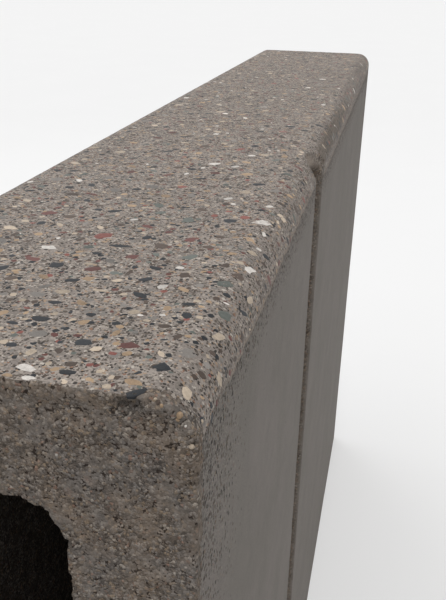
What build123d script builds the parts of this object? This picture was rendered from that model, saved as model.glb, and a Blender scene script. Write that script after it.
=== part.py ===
from build123d import *
import os

# A hollow precast concrete kerb unit, cast in one piece and stored upright on its bed.
# Millimetres. X is the width, with the grooved face on +X. Y is the length, and Z is up.
# The origin is the middle of the bed, the face that the kerb stands on.

# Outer block
length = 900
width = 150
height = 600

# Round on the two long top arrises, left by grinding the top
arris_radius = 15

# Tall slot that runs from end to end inside the walls
side_wall = 40
top_wall = 40
bed_wall = 40
hollow_radius = 17

# Upright groove in the front face: its middle is measured from the near end, at -Y.
# Its sides are drafted, so that it is narrower at its floor than at the face.
groove_from_end = 300
groove_width = 40
groove_depth = 10
groove_draft = 15
groove_lip_radius = 2

# How far a cutting body runs past the faces that it cuts through
overrun = 5


def cross_section():
    """The section across the length, drawn in X and Z: the rounded block less its hollow."""
    block = Pos(0, height / 2) * Rectangle(width, height)
    top_corners = block.vertices().group_by(Axis.Y)[-1]
    block = fillet(top_corners, arris_radius)
    hollow_height = height - top_wall - bed_wall
    hollow = RectangleRounded(width - 2 * side_wall, hollow_height, hollow_radius)
    return block - Pos(0, bed_wall + hollow_height / 2) * hollow


def cast_block():
    """The section carried along the whole length, with the bed's middle at the origin."""
    return extrude(Plane.XZ * cross_section(), amount=length / 2, both=True)


def groove_core():
    """The bar that forms the groove: a trapezium in plan, standing past the bed and the top.

    A strip of air in front of the face lets its two lips be rounded over in plan.
    """
    inside = Trapezoid(groove_width, groove_depth, 90 - groove_draft, align=(Align.CENTER, Align.MIN))
    strip_width = groove_width + 4 * groove_lip_radius
    plan = inside + Rectangle(strip_width, overrun, align=(Align.CENTER, Align.MAX))
    lips = plan.vertices().filter_by_position(Axis.Y, 0, 0).sort_by(Axis.X)[1:3]
    plan = fillet(lips, groove_lip_radius)
    mouth = Pos(width / 2, groove_from_end - length / 2, -overrun) * Rot(0, 0, 90)
    return extrude(mouth * plan, amount=height + 2 * overrun)


os.makedirs("parts", exist_ok=True)
export_step(cast_block() - groove_core(), "parts/kerb.step")
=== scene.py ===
"""The look of a hollow precast concrete kerb: ground top, cast faces, torn ends and groove."""

import logging
import math
from dataclasses import dataclass, replace
from enum import Enum

import bpy
import numpy as np
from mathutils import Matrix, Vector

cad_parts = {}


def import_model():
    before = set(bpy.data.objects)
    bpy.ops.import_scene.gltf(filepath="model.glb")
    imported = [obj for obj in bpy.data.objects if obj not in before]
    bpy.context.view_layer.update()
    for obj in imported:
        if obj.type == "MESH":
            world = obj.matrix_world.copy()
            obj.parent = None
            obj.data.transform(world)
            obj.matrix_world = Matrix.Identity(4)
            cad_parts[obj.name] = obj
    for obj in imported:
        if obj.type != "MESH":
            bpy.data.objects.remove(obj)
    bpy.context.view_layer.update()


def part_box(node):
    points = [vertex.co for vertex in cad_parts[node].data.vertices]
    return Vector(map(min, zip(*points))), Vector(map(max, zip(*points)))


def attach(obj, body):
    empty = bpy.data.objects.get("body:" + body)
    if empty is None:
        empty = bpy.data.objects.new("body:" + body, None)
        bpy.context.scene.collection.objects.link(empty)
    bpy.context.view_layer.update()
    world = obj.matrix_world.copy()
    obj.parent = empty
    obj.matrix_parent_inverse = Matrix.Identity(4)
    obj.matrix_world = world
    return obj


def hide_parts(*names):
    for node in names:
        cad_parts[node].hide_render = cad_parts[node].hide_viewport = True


MM = 0.001
NODE = "kerb"
MAP_NAME = "OFBake"

log = logging.getLogger("kerb")


def paint(red: int, green: int, blue: int) -> tuple[float, float, float, float]:
    """Turns a colour as the eye reads it, 0 to 255 a channel, into the linear one that a shader takes.

    Args:
        red: Red as shown.
        green: Green as shown.
        blue: Blue as shown.

    Returns:
        The linear colour with full alpha.
    """
    shown = np.array([red, green, blue]) / 255
    linear = np.where(shown <= 0.04045, shown / 12.92, ((shown + 0.055) / 1.055) ** 2.4)
    return (*(float(channel) for channel in linear), 1.0)


def smooth_step(values: np.ndarray, low: float | np.ndarray, high: float | np.ndarray) -> np.ndarray:
    """The smooth step: 0 up to low, 1 from high on, and 3t^2 - 2t^3 between, t running from 0 to 1.

    Args:
        values: Any array of numbers.
        low: Where the step starts.
        high: Where the step ends. It may lie below low, for a falling step.

    Returns:
        The step at each value.
    """
    t = np.clip((values - low) / (high - low), 0, 1)
    return t * t * (3 - 2 * t)


def spaced(start: float, end: float, pitch: float) -> np.ndarray:
    """Evenly spaced numbers from start up to but not including end, about a pitch apart."""
    count = max(1, round(abs(end - start) / pitch))
    return start + (end - start) * np.arange(count) / count


def scramble(cells: np.ndarray, seed: int) -> np.ndarray:
    """An even random number from 0 to 1 for each whole-number cell, the same on every run.

    The three cell numbers are multiplied by large odd numbers, joined by exclusive or and mixed twice.

    Args:
        cells: Whole numbers, with three in the last axis.
        seed: Picks one of many fields.

    Returns:
        One number a cell.
    """
    c = cells.astype(np.int64).astype(np.uint32)
    mixed = c[..., 0] * np.uint32(73856093) ^ c[..., 1] * np.uint32(19349663)
    mixed ^= c[..., 2] * np.uint32(83492791) ^ np.uint32(seed * 2654435761 % 2**32)
    for shift in (15, 13):
        mixed ^= mixed >> np.uint32(shift)
        mixed = mixed * np.uint32(2246822519)
    mixed ^= mixed >> np.uint32(16)
    return mixed / np.float64(2**32)


def soft_noise(points: np.ndarray, size: float, seed: int) -> np.ndarray:
    """Smooth noise from -1 to 1: random corner values of a cubic lattice, blended by smooth steps.

    Args:
        points: Places in metres, with three in the last axis.
        size: The lattice's pitch in metres.
        seed: Picks one of many fields.

    Returns:
        The noise at each place.
    """
    scaled = points / size
    cell = np.floor(scaled)
    part = scaled - cell
    part = part * part * (3 - 2 * part)
    total = np.zeros(points.shape[:-1])
    for corner in np.ndindex(2, 2, 2):
        step = np.array(corner)
        weight = np.prod(np.where(step == 1, part, 1 - part), axis=-1)
        total += weight * scramble(cell + step, seed)
    return 2 * total - 1


def layered_noise(points: np.ndarray, layers: tuple[tuple[float, float], ...], seed: int) -> np.ndarray:
    """The sum of several smooth noises.

    Args:
        points: Places in metres.
        layers: The size and the reach of each layer.
        seed: Picks one of many fields.

    Returns:
        The noise, between minus and plus the sum of the reaches.
    """
    return sum(reach * soft_noise(points, size, seed + k) for k, (size, reach) in enumerate(layers))


def grain_domes(points: np.ndarray, size: float, seed: int) -> tuple[np.ndarray, np.ndarray]:
    """Packed round grains: the height of the tallest grain's dome at each place, from 0 to 1.

    One grain sits at a random place in each cell of a cubic lattice. Its dome is the root of
    1 - (distance / radius)^2 times its radius, and the tallest of the 27 cells about a place counts.

    Args:
        points: Places in metres, with three in the last axis.
        size: The lattice's pitch in metres, which is about a grain's width.
        seed: Picks one of many fields.

    Returns:
        The height at each place, in shares of the largest grain's, and that grain's random number.
    """
    scaled = points / size
    home = np.floor(scaled)
    tallest, tint = np.zeros((2, *points.shape[:-1]))
    for offset in np.ndindex(3, 3, 3):
        cell = home + np.array(offset) - 1
        jitter = np.stack([scramble(cell, seed + axis) for axis in range(3)], axis=-1)
        radius = 0.35 + 0.45 * scramble(cell, seed + 3)
        away = np.sum((scaled - cell - jitter) ** 2, axis=-1) / radius**2
        height = radius * np.sqrt(np.clip(1 - away, 0, 1))
        tint = np.where(height > tallest, scramble(cell, seed + 4), tint)
        tallest = np.maximum(tallest, height)
    return tallest / 0.8, tint


@dataclass(frozen=True)
class Stations:
    """Where the points of a loop round the kerb's section lie, as rising shares of each run."""

    side: np.ndarray
    top_corner: np.ndarray
    top: np.ndarray
    foot_corner: np.ndarray
    bed: np.ndarray


@dataclass(frozen=True)
class KerbShape:
    """The kerb's cast sizes in metres. The outer box is the frame's, and the rest is written here."""

    half_width: float
    half_length: float
    height: float
    wall: float = 40 * MM
    arris_radius: float = 15 * MM
    foot_radius: float = 1 * MM
    hollow_radius: float = 17 * MM
    groove_from_end: float = 300 * MM
    groove_width: float = 40 * MM
    groove_depth: float = 10 * MM
    groove_side: float = 2.7 * MM
    ground_down_to: float = 13 * MM
    cap_height: float = 34 * MM
    end_thickness: float = 12 * MM

    @classmethod
    def from_frame(cls) -> "KerbShape":
        """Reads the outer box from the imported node."""
        _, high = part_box(NODE)
        return cls(half_width=float(high[0]), half_length=float(high[1]), height=float(high[2]))

    @property
    def groove_middle(self) -> float:
        """Where the groove's middle lies along Y."""
        return self.groove_from_end - self.half_length

    @property
    def arris_length(self) -> float:
        """Length of the quarter turn from the top to a side."""
        return self.arris_radius * math.pi / 2

    @property
    def half_top(self) -> float:
        """Half the width of the flat part of the top."""
        return self.half_width - self.arris_radius

    @property
    def inner_end(self) -> float:
        """Where the end slabs meet the rest, as a distance along Y from the middle."""
        return self.half_length - self.end_thickness

    def rise(self, z: np.ndarray, start: float, end: float) -> np.ndarray:
        """A smooth step over the height, between two distances below the top."""
        return smooth_step(z, self.height - start, self.height - end)

    def limits(self, margin: float | np.ndarray = 0.0) -> tuple[np.ndarray, np.ndarray]:
        """The outer box's low and high corners, each moved in by a margin, or by one for each place."""
        high = np.array([self.half_width, self.half_length, self.height])
        return high * [-1, -1, 0] + margin, high - margin

    def loop(self, stations: Stations, inner: bool) -> np.ndarray:
        """A closed loop in X and Z, anticlockwise seen from the near end, starting at the front foot.

        Each run is a straight line and each corner a quarter circle, both split at the same shares
        on the outer and the inner loop, so that the points of the two loops pair up.

        Args:
            stations: The shares at which the runs and corners are split.
            inner: True for the hollow's loop and False for the outer one.

        Returns:
            The points, two numbers each.
        """
        half = self.half_width - self.wall if inner else self.half_width
        low = self.wall if inner else 0.0
        high = self.height - low
        top_radius = self.hollow_radius if inner else self.arris_radius
        foot_radius = self.hollow_radius if inner else self.foot_radius
        run = high - low - top_radius - foot_radius
        rise = low + foot_radius + stations.side * run
        fall = low + foot_radius + np.append(1.0, stations.side[:0:-1]) * run
        top = (half - top_radius) * (1 - 2 * stations.top)
        bed = (half - foot_radius) * (2 * stations.bed - 1)

        def corner(x: float, z: float, radius: float, turns: int, shares: np.ndarray) -> np.ndarray:
            """A quarter circle about x and z, starting a number of quarter turns from the front."""
            angle = (turns + shares) * math.pi / 2
            return np.stack([x + radius * np.cos(angle), z + radius * np.sin(angle)], axis=1)

        top_x, top_z = half - top_radius, high - top_radius
        foot_x, foot_z = half - foot_radius, low + foot_radius
        return np.concatenate([
            np.stack([np.full_like(rise, half), rise], axis=1),
            corner(top_x, top_z, top_radius, 0, stations.top_corner),
            np.stack([top, np.full_like(top, high)], axis=1),
            corner(-top_x, top_z, top_radius, 1, stations.top_corner),
            np.stack([np.full_like(fall, -half), fall], axis=1),
            corner(-foot_x, foot_z, foot_radius, 2, stations.foot_corner),
            np.stack([bed, np.full_like(bed, low)], axis=1),
            corner(foot_x, foot_z, foot_radius, 3, stations.foot_corner),
        ])

    def on_top(self, across: np.ndarray, along: np.ndarray, lift: np.ndarray) -> np.ndarray:
        """Places on the top and its rounds, from a flat development of them.

        Across runs from 0 at the middle of the top. Up to the flat's edge it is X, beyond it the
        distance round the quarter circle, and past that the way down the side. Lift stands the
        place off the surface along its normal.

        Args:
            across: Distance across the development, positive to the front.
            along: Place along Y.
            lift: Distance off the surface, negative into it.

        Returns:
            The places, three numbers each.
        """
        past = np.abs(across) - self.half_top
        angle = np.clip(past / self.arris_radius, 0, math.pi / 2)
        reach = self.arris_radius + lift
        x = np.minimum(np.abs(across), self.half_top) + reach * np.sin(angle)
        down = np.maximum(past - self.arris_length, 0)
        z = self.height - self.arris_radius + reach * np.cos(angle) - down
        return np.stack(np.broadcast_arrays(np.sign(across) * x, along, z), axis=-1)


@dataclass(frozen=True)
class Skin:
    """How far the finished skin lies inside the cast size: ground zone, its rim, and the cast faces.

    The ground zone is lowered a little, which leaves room for the tops of its stones. The cast
    faces wave gently. The crumbs that grinding leaves along the zone's lower edge stand highest.
    """

    shape: KerbShape
    ground_depth: float = 0.2 * MM
    face_depth: float = 0.5 * MM
    far_drop: float = 6 * MM
    edge_layers: tuple = ((26 * MM, 1.0 * MM), (8 * MM, 0.8 * MM), (3 * MM, 0.7 * MM))
    seed: int = 83

    def above_edge(self, points: np.ndarray) -> np.ndarray:
        """Height above the ground zone's lower edge, which wanders, and lies lower past the groove.

        Args:
            points: Places on the casting.

        Returns:
            The height in metres, negative below the edge.
        """
        line = np.stack([np.sign(points[..., 0]), points[..., 1], 0 * points[..., 2]], axis=-1)
        wander = layered_noise(line, self.edge_layers, self.seed)
        past = self.shape.groove_middle + self.shape.groove_width / 2
        drop = self.far_drop * smooth_step(points[..., 1], past, past + 3 * MM) * (points[..., 0] > 0)
        return points[..., 2] - (self.shape.height - self.shape.ground_down_to - drop + wander)

    def settle(self, points: np.ndarray) -> tuple[np.ndarray, np.ndarray]:
        """Lowers places on the outside of the casting to the finished skin.

        Args:
            points: Places on the cast size.

        Returns:
            The settled places, and their heights above the ground zone's edge in millimetres.
        """
        shape, above = self.shape, self.above_edge(points)
        ground = smooth_step(above, -0.3 * MM, 0.5 * MM)
        crumbs = smooth_step(above, -2.4 * MM, -0.9 * MM) * (1 - ground)
        crumbs = crumbs * smooth_step(soft_noise(points, 1.9 * MM, self.seed + 7), -0.7, 0.3)
        crumbs = crumbs * smooth_step(np.abs(points[..., 1]), shape.half_length, shape.half_length - 60 * MM)
        wave = 0.5 + 0.5 * soft_noise(points, 90 * MM, self.seed + 9)
        low = self.face_depth * (0.35 + 0.65 * wave)
        inward = low * (1 - ground) * (1 - crumbs) + self.ground_depth * ground
        past = np.clip((np.abs(points[..., 0]) - shape.half_top) / shape.arris_radius, 0, 1)
        risen = np.clip((points[..., 2] - shape.height) / shape.arris_radius + 1, 0, 1)
        settled = points.copy()
        settled[..., 0] -= np.sign(points[..., 0]) * inward * past
        settled[..., 2] -= self.ground_depth * risen
        return settled, np.clip(above / MM, -30, 30)


def upright(pairs: np.ndarray, y: float | np.ndarray = 0.0) -> np.ndarray:
    """Turns pairs of X and Z into places, all at one Y or each at its own."""
    return np.stack(np.broadcast_arrays(pairs[..., 0], y, pairs[..., 1]), axis=-1)


def ring_faces(rows: int, columns: int, close_rows: bool) -> np.ndarray:
    """The four-cornered faces of a grid whose columns close on themselves.

    Args:
        rows: Number of rows.
        columns: Number of points in each row.
        close_rows: True where the last row also joins the first.

    Returns:
        Four corner numbers a face.
    """
    row = np.arange(rows if close_rows else rows - 1)[:, None]
    column = np.arange(columns)[None, :]
    below, above = row * columns, (row + 1) % rows * columns
    after = (column + 1) % columns
    return np.stack([below + column, below + after, above + after, above + column], axis=-1).reshape(-1, 4)


def grid_map(row_steps: np.ndarray, column_steps: np.ndarray, folds: int) -> np.ndarray:
    """A flat map of a grid: its columns cut into equal folds, which are laid above one another.

    Across, a corner lies at its share of the fold's length. Up, it lies at its fold's floor plus
    its share of all the rows. A small margin is left about each fold.

    Args:
        row_steps: The width of each row of faces.
        column_steps: The width of each column of faces.
        folds: How many strips the grid is cut into.

    Returns:
        Two numbers for each corner of each face, in the order of ring_faces.
    """
    rows = np.append(0.0, np.cumsum(row_steps)) / row_steps.sum()
    columns = np.append(0.0, np.cumsum(column_steps)) / column_steps.sum()
    fold = np.minimum((columns[:-1] * folds + 1e-9).astype(int), folds - 1)
    starts = np.array([columns[:-1][fold == k][0] for k in range(folds)] + [1.0])
    length = (starts[1:] - starts[:-1])[fold]
    left, right = ((edge - starts[fold]) / length for edge in (columns[:-1], columns[1:]))
    margin, band = 0.006, 1 / folds
    u = margin + (1 - 2 * margin) * np.stack([left, right, right, left], axis=-1)
    share = np.stack([rows[:-1], rows[:-1], rows[1:], rows[1:]], axis=-1)
    v = band * fold[None, :, None] + margin + (band - 2 * margin) * share[:, None, :]
    return np.stack(np.broadcast_arrays(u[None], v), axis=-1).reshape(-1, 4, 2)


def weave(
    row_steps: np.ndarray, column_steps: np.ndarray, close_rows: bool, folds: int = 1, turned: bool = True
) -> tuple[np.ndarray, np.ndarray]:
    """The faces of a grid whose columns close on themselves, with its flat map.

    Args:
        row_steps: The width of each row of faces.
        column_steps: The width of each column of faces.
        close_rows: True where the last row of points also joins the first.
        folds: How many strips the map is cut into.
        turned: True to list the corners of each face the other way round.

    Returns:
        Four corner numbers a face, and two map numbers a corner.
    """
    rows = len(row_steps) if close_rows else len(row_steps) + 1
    faces = ring_faces(rows, len(column_steps), close_rows)
    flat_map = grid_map(row_steps, column_steps, folds)
    return (faces[:, ::-1], flat_map[:, ::-1]) if turned else (faces, flat_map)


def capped_rings(rings: int, corners: int, bodies: int) -> list[list[int]]:
    """The faces of many bodies, each a stack of rings closed by a point at its top and its foot.

    A body's points are its rings from the foot up, then the point at its top, then that at its foot.

    Args:
        rings: How many rings a body has.
        corners: How many points a ring has.
        bodies: How many bodies there are.

    Returns:
        The corner numbers of each face: the walls of all the bodies, then their tops and their feet.
    """
    ring = np.arange(corners)
    after = (ring + 1) % corners
    last, top = (rings - 1) * corners, rings * corners
    parts = [
        ring_faces(rings, corners, close_rows=False),
        np.stack([last + ring, last + after, np.full(corners, top)], axis=1),
        np.stack([after, ring, np.full(corners, top + 1)], axis=1),
    ]
    offset = np.arange(bodies)[:, None, None] * (top + 2)
    return [row for part in parts for row in (part[None] + offset).reshape(-1, part.shape[1]).tolist()]


def make_piece(
    name: str,
    vertices: np.ndarray,
    faces: np.ndarray | list[list[int]],
    material: bpy.types.Material,
    marks: dict[str, np.ndarray],
    flat_map: np.ndarray | None = None,
    sharp_from: float = 50,
) -> None:
    """Puts worked-out points and faces into a new smooth mesh and hangs it on the kerb's body.

    Args:
        name: The piece's name.
        vertices: Its points in metres.
        faces: Its faces, as corner numbers.
        material: The finish it wears.
        marks: Numbers kept on each point for the finish to read, by name.
        flat_map: Where each face's corners lie on the piece's flat map, two numbers each.
        sharp_from: The angle in degrees from which an edge shades sharp.
    """
    mesh = bpy.data.meshes.new(name)
    mesh.from_pydata(vertices.tolist(), [], faces if isinstance(faces, list) else faces.tolist())
    mesh.polygons.foreach_set("use_smooth", np.ones(len(mesh.polygons), dtype=bool))
    for mark, values in marks.items():
        layer = mesh.attributes.new(mark, "FLOAT", "POINT")
        layer.data.foreach_set("value", np.ascontiguousarray(values, dtype=np.float32).ravel())
    if flat_map is not None:
        layer = mesh.uv_layers.new(name=MAP_NAME)
        layer.data.foreach_set("uv", np.ascontiguousarray(flat_map, dtype=np.float32).ravel())
    mesh.materials.append(material)
    mesh.set_sharp_from_angle(angle=math.radians(sharp_from))
    mesh.update()
    piece = bpy.data.objects.new(name, mesh)
    bpy.context.scene.collection.objects.link(piece)
    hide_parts(NODE)
    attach(piece, "root")
    log.info("%s: %d points, %d faces", name, len(mesh.vertices), len(mesh.polygons))


class Value:
    """A socket that carries one number over the surface. Sums on it add Math nodes."""

    def __init__(self, nodes: "Nodes", socket: bpy.types.NodeSocket) -> None:
        """Keeps the socket and the tree it is in.

        Args:
            nodes: The tree that it is in.
            socket: The socket.
        """
        self.nodes = nodes
        self.socket = socket

    def math(self, operation: str, *others: "Value | float") -> "Value":
        """Adds one Math node of that operation, which takes this value first and then the others."""
        inputs = dict(enumerate((self, *others)))
        return self.nodes.add("ShaderNodeMath", {"operation": operation}, inputs)["Value"]

    def __add__(self, other: "Value | float") -> "Value":
        """This value plus the other."""
        return self.math("ADD", other)

    def __sub__(self, other: "Value | float") -> "Value":
        """This value less the other."""
        return self.math("SUBTRACT", other)

    def __rsub__(self, other: float) -> "Value":
        """The other less this value."""
        return self.nodes.add("ShaderNodeMath", {"operation": "SUBTRACT"}, {0: other, 1: self})["Value"]

    def __mul__(self, other: "Value | float") -> "Value":
        """This value times the other."""
        return self.math("MULTIPLY", other)

    def __lt__(self, other: "Value | float") -> "Value":
        """1 where this value is less than the other, else 0."""
        return self.math("LESS_THAN", other)

    def __gt__(self, other: "Value | float") -> "Value":
        """1 where this value is more than the other, else 0."""
        return self.math("GREATER_THAN", other)

    __radd__ = __add__
    __rmul__ = __mul__

    def __abs__(self) -> "Value":
        """This value without its sign."""
        return self.math("ABSOLUTE")

    def either(self, other: "Value | float") -> "Value":
        """The larger of the two."""
        return self.math("MAXIMUM", other)

    def step(self, low: float, high: float) -> "Value":
        """A smooth step from 0 at low to 1 at high, or the other way round where high is below low.

        Args:
            low: Where the step is 0.
            high: Where it is 1.

        Returns:
            The step.
        """
        settings = {"interpolation_type": "SMOOTHSTEP"}
        start, end = (0.0, 1.0) if low < high else (1.0, 0.0)
        inputs = {"Value": self, "From Min": min(low, high), "From Max": max(low, high)}
        inputs |= {"To Min": start, "To Max": end}
        return self.nodes.add("ShaderNodeMapRange", settings, inputs)["Result"]


class Palette(Enum):
    """Kinds of grain or stone, each with its colour and how common it is."""

    @property
    def colour(self) -> tuple:
        """The kind's linear colour."""
        return self.value[0]

    @property
    def share(self) -> float:
        """Its share of all the kinds."""
        return self.value[1]

    @property
    def place(self) -> float:
        """The middle of its own run on the ramp that stops gives."""
        kinds = list(type(self))
        return sum(kind.share for kind in kinds[: kinds.index(self)]) + self.share / 2

    @classmethod
    def stops(cls) -> list[tuple[float, tuple]]:
        """Ramp stops that give each kind its share."""
        starts = np.cumsum([0.0] + [kind.share for kind in cls])
        return [(float(start), kind.colour) for start, kind in zip(starts, cls)]


class Stone(Palette):
    """The stones of the mix, as cut."""

    SLATE = (paint(50, 52, 55), 0.25)
    MOSS = (paint(98, 102, 97), 0.07)
    BROWN = (paint(85, 74, 67), 0.18)
    MAROON = (paint(99, 67, 63), 0.09)
    RED = (paint(132, 84, 77), 0.04)
    GREY = (paint(124, 119, 114), 0.16)
    OCHRE = (paint(160, 137, 112), 0.12)
    CREAM = (paint(181, 166, 148), 0.08)
    WHITE = (paint(212, 206, 199), 0.03)


class Sand(Palette):
    """The sand of the mix, as cut."""

    DARK = (paint(64, 60, 57), 0.19)
    BROWN = (paint(94, 86, 79), 0.22)
    GREY = (paint(124, 117, 110), 0.20)
    LIGHT = (paint(158, 149, 140), 0.22)
    TAN = (paint(158, 137, 117), 0.08)
    RUST = (paint(134, 105, 89), 0.03)
    PALE = (paint(183, 175, 165), 0.06)


class BareSand(Palette):
    """The sand where it stands bare in torn concrete, filmed with paste."""

    DARK = (paint(51, 47, 43), 0.26)
    BROWN = (paint(87, 78, 70), 0.27)
    GREY = (paint(109, 104, 100), 0.24)
    TAN = (paint(126, 109, 89), 0.09)
    RUST = (paint(124, 94, 79), 0.03)
    PALE = (paint(147, 139, 130), 0.11)


class Nodes:
    """The node tree of a material or of the world, and the one way that nodes are added to it."""

    def __init__(self, owner: bpy.types.Material | bpy.types.World) -> None:
        """Empties the owner's tree and keeps it.

        Args:
            owner: The material or the world.
        """
        owner.use_nodes = True
        self.owner = owner
        self.tree = owner.node_tree
        self.tree.nodes.clear()

    def add(self, kind: str, settings: dict, inputs: dict) -> dict[str, object]:
        """Adds a node, sets it up, and then gives its sockets their numbers or links.

        Args:
            kind: The node's type.
            settings: Its settings, by name. "stops" holds a colour ramp's places and colours.
            inputs: A number, colour, Value or socket for each input, by name or number.

        Returns:
            Its outputs by name: a Value for a number, and the socket itself for anything else.
        """
        node = self.tree.nodes.new(kind)
        for name, setting in settings.items():
            if name == "stops":
                self._set_stops(node.color_ramp, setting)
            else:
                setattr(node, name, setting)
        for name, given in inputs.items():
            self._feed(node.inputs[name], given)
        return {
            out.name: Value(self, out) if out.type == "VALUE" else out
            for out in node.outputs
            if out.enabled
        }

    def _feed(self, socket: bpy.types.NodeSocket, given: object) -> None:
        """Links a socket, or sets its own number or colour.

        Args:
            socket: The input to feed.
            given: A number, colour, Value or socket.
        """
        given = given.socket if isinstance(given, Value) else given
        if isinstance(given, bpy.types.NodeSocket):
            self.tree.links.new(given, socket)
        elif isinstance(given, tuple) and socket.type == "VECTOR":
            socket.default_value = given[:3]
        else:
            socket.default_value = given

    @staticmethod
    def _set_stops(ramp: bpy.types.ColorRamp, stops: list[tuple[float, tuple]]) -> None:
        """Gives a ramp its stops, each colour holding up to the next stop.

        Args:
            ramp: The ramp.
            stops: The place and the colour of each stop.
        """
        ramp.interpolation = "CONSTANT"
        while len(ramp.elements) < len(stops):
            ramp.elements.new(1.0)
        for element, (place, colour) in zip(ramp.elements, stops):
            element.position = place
            element.color = colour

    def mix(self, share: Value | float, first: object, second: object) -> object:
        """The socket of a colour between two, by the share of the second."""
        inputs = {0: share, 6: first, 7: second}
        return self.add("ShaderNodeMix", {"data_type": "RGBA"}, inputs)["Result"]

    def shade_by(self, colour: object, amount: Value | float) -> object:
        """A colour made lighter or darker by a number that multiplies it."""
        grey = self.add("ShaderNodeCombineXYZ", {}, {"X": amount, "Y": amount, "Z": amount})["Vector"]
        return self.add("ShaderNodeVectorMath", {"operation": "MULTIPLY"}, {0: colour, 1: grey})["Vector"]

    def noise(self, place: object, size: float, detail: float = 2.0) -> Value:
        """Cloudy noise from 0 to 1, mostly near a half, with features of about that size in metres."""
        inputs = {"Vector": place, "Scale": 1 / size, "Detail": detail, "Roughness": 0.55}
        return self.add("ShaderNodeTexNoise", {}, inputs)["Fac"]

    def warp(self, place: object, size: float, reach: float) -> object:
        """Places pushed about by noise.

        Args:
            place: Where on the object.
            size: The noise's size in metres.
            reach: About how far a place moves, in metres.

        Returns:
            The moved places' socket.
        """
        inputs = {"Vector": place, "Scale": 1 / size, "Detail": 1.0}
        push = self.add("ShaderNodeTexNoise", {}, inputs)["Color"]
        inputs = {0: push, 1: (0.5, 0.5, 0.5)}
        centred = self.add("ShaderNodeVectorMath", {"operation": "SUBTRACT"}, inputs)["Vector"]
        inputs = {0: centred, 1: (2 * reach,) * 3, 2: place}
        return self.add("ShaderNodeVectorMath", {"operation": "MULTIPLY_ADD"}, inputs)["Vector"]

    def cells(self, place: object, size: float, feature: str = "F1") -> dict[str, object]:
        """Cells of about that size in metres, with a distance and a random colour for each."""
        inputs = {"Vector": place, "Scale": 1 / size, "Randomness": 1.0}
        return self.add("ShaderNodeTexVoronoi", {"feature": feature}, inputs)

    def place(self) -> object:
        """Where on the object, in metres."""
        return self.add("ShaderNodeTexCoord", {}, {})["Object"]

    def mark(self, name: str) -> Value:
        """A number that the mesh keeps on each point."""
        return self.add("ShaderNodeAttribute", {"attribute_name": name}, {})["Fac"]

    def pick(self, kinds: type[Palette], number: Value | float) -> object:
        """The colour of the kind that a number from 0 to 1 picks, each kind as often as its share."""
        return self.add("ShaderNodeValToRGB", {"stops": kinds.stops()}, {"Fac": number})["Color"]

    def parts(self, colour: object) -> tuple[Value, Value, Value]:
        """The three random numbers that a cell's colour holds."""
        split = self.add("ShaderNodeSeparateColor", {}, {"Color": colour})
        return split["Red"], split["Green"], split["Blue"]

    def strew(
        self,
        colour: object,
        place: object,
        size: float,
        kinds: type[Palette],
        share: Value | float,
        reach: tuple = (0.25, 0.6),
    ) -> tuple[object, Value]:
        """Lays chips of several kinds over a colour, with ragged outlines.

        Each cell holds one chip, which shows within a random reach of the cell's middle.

        Args:
            colour: What shows between the chips.
            place: Where on the object.
            size: The cells' size in metres.
            kinds: The kinds of chip.
            share: The share of cells that have a chip.
            reach: The least and the greatest reach, in cells.

        Returns:
            The new colour, and a mask that is 1 on the chips.
        """
        cells = self.cells(self.warp(place, 0.8 * size, 0.3 * size), size)
        kind, spread, present = self.parts(cells["Color"])
        inside = (cells["Distance"] < spread * (reach[1] - reach[0]) + reach[0]) * (present < share)
        return self.mix(inside, colour, self.pick(kinds, kind)), inside

    def finish(self, surface: "Surface") -> bpy.types.Material:
        """Closes the tree with a plain principled shader and a bump.

        Args:
            surface: The finish that the shader shows.

        Returns:
            The material.
        """
        inputs = {"Strength": 1.0, "Distance": MM, "Height": surface.height}
        bump = self.add("ShaderNodeBump", {}, inputs)["Normal"]
        inputs = {"Base Color": surface.colour, "Roughness": surface.roughness, "Normal": bump}
        inputs |= {"Specular IOR Level": surface.gloss}
        shader = self.add("ShaderNodeBsdfPrincipled", {}, inputs)["BSDF"]
        self.add("ShaderNodeOutputMaterial", {}, {"Surface": shader})
        return self.owner

    def shown(self) -> Value:
        """1 for what the camera, a mirror or glass shows, and 0 where light is only thrown on."""
        path = self.add("ShaderNodeLightPath", {}, {})
        return path["Is Camera Ray"].either(path["Is Glossy Ray"]).either(path["Is Transmission Ray"])


@dataclass(frozen=True)
class Surface:
    """What a finish gives at each place: colour, roughness, and height in millimetres."""

    nodes: Nodes
    colour: object
    roughness: Value | float
    height: Value | float
    gloss: float = 0.05

    def tinted(self, share: Value | float, colour: object) -> "Surface":
        """This finish with a share of another colour mixed in."""
        return replace(self, colour=self.nodes.mix(share, self.colour, colour))

    def under(self, mask: Value, cover: "Surface") -> "Surface":
        """This finish with another laid over it where the mask is 1.

        Args:
            mask: 1 where the cover shows.
            cover: The finish on top.

        Returns:
            The blend of the two.
        """
        bare = 1 - mask
        return Surface(
            self.nodes,
            self.nodes.mix(mask, self.colour, cover.colour),
            bare * self.roughness + mask * cover.roughness,
            bare * self.height + mask * cover.height,
            self.gloss,
        )


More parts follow.
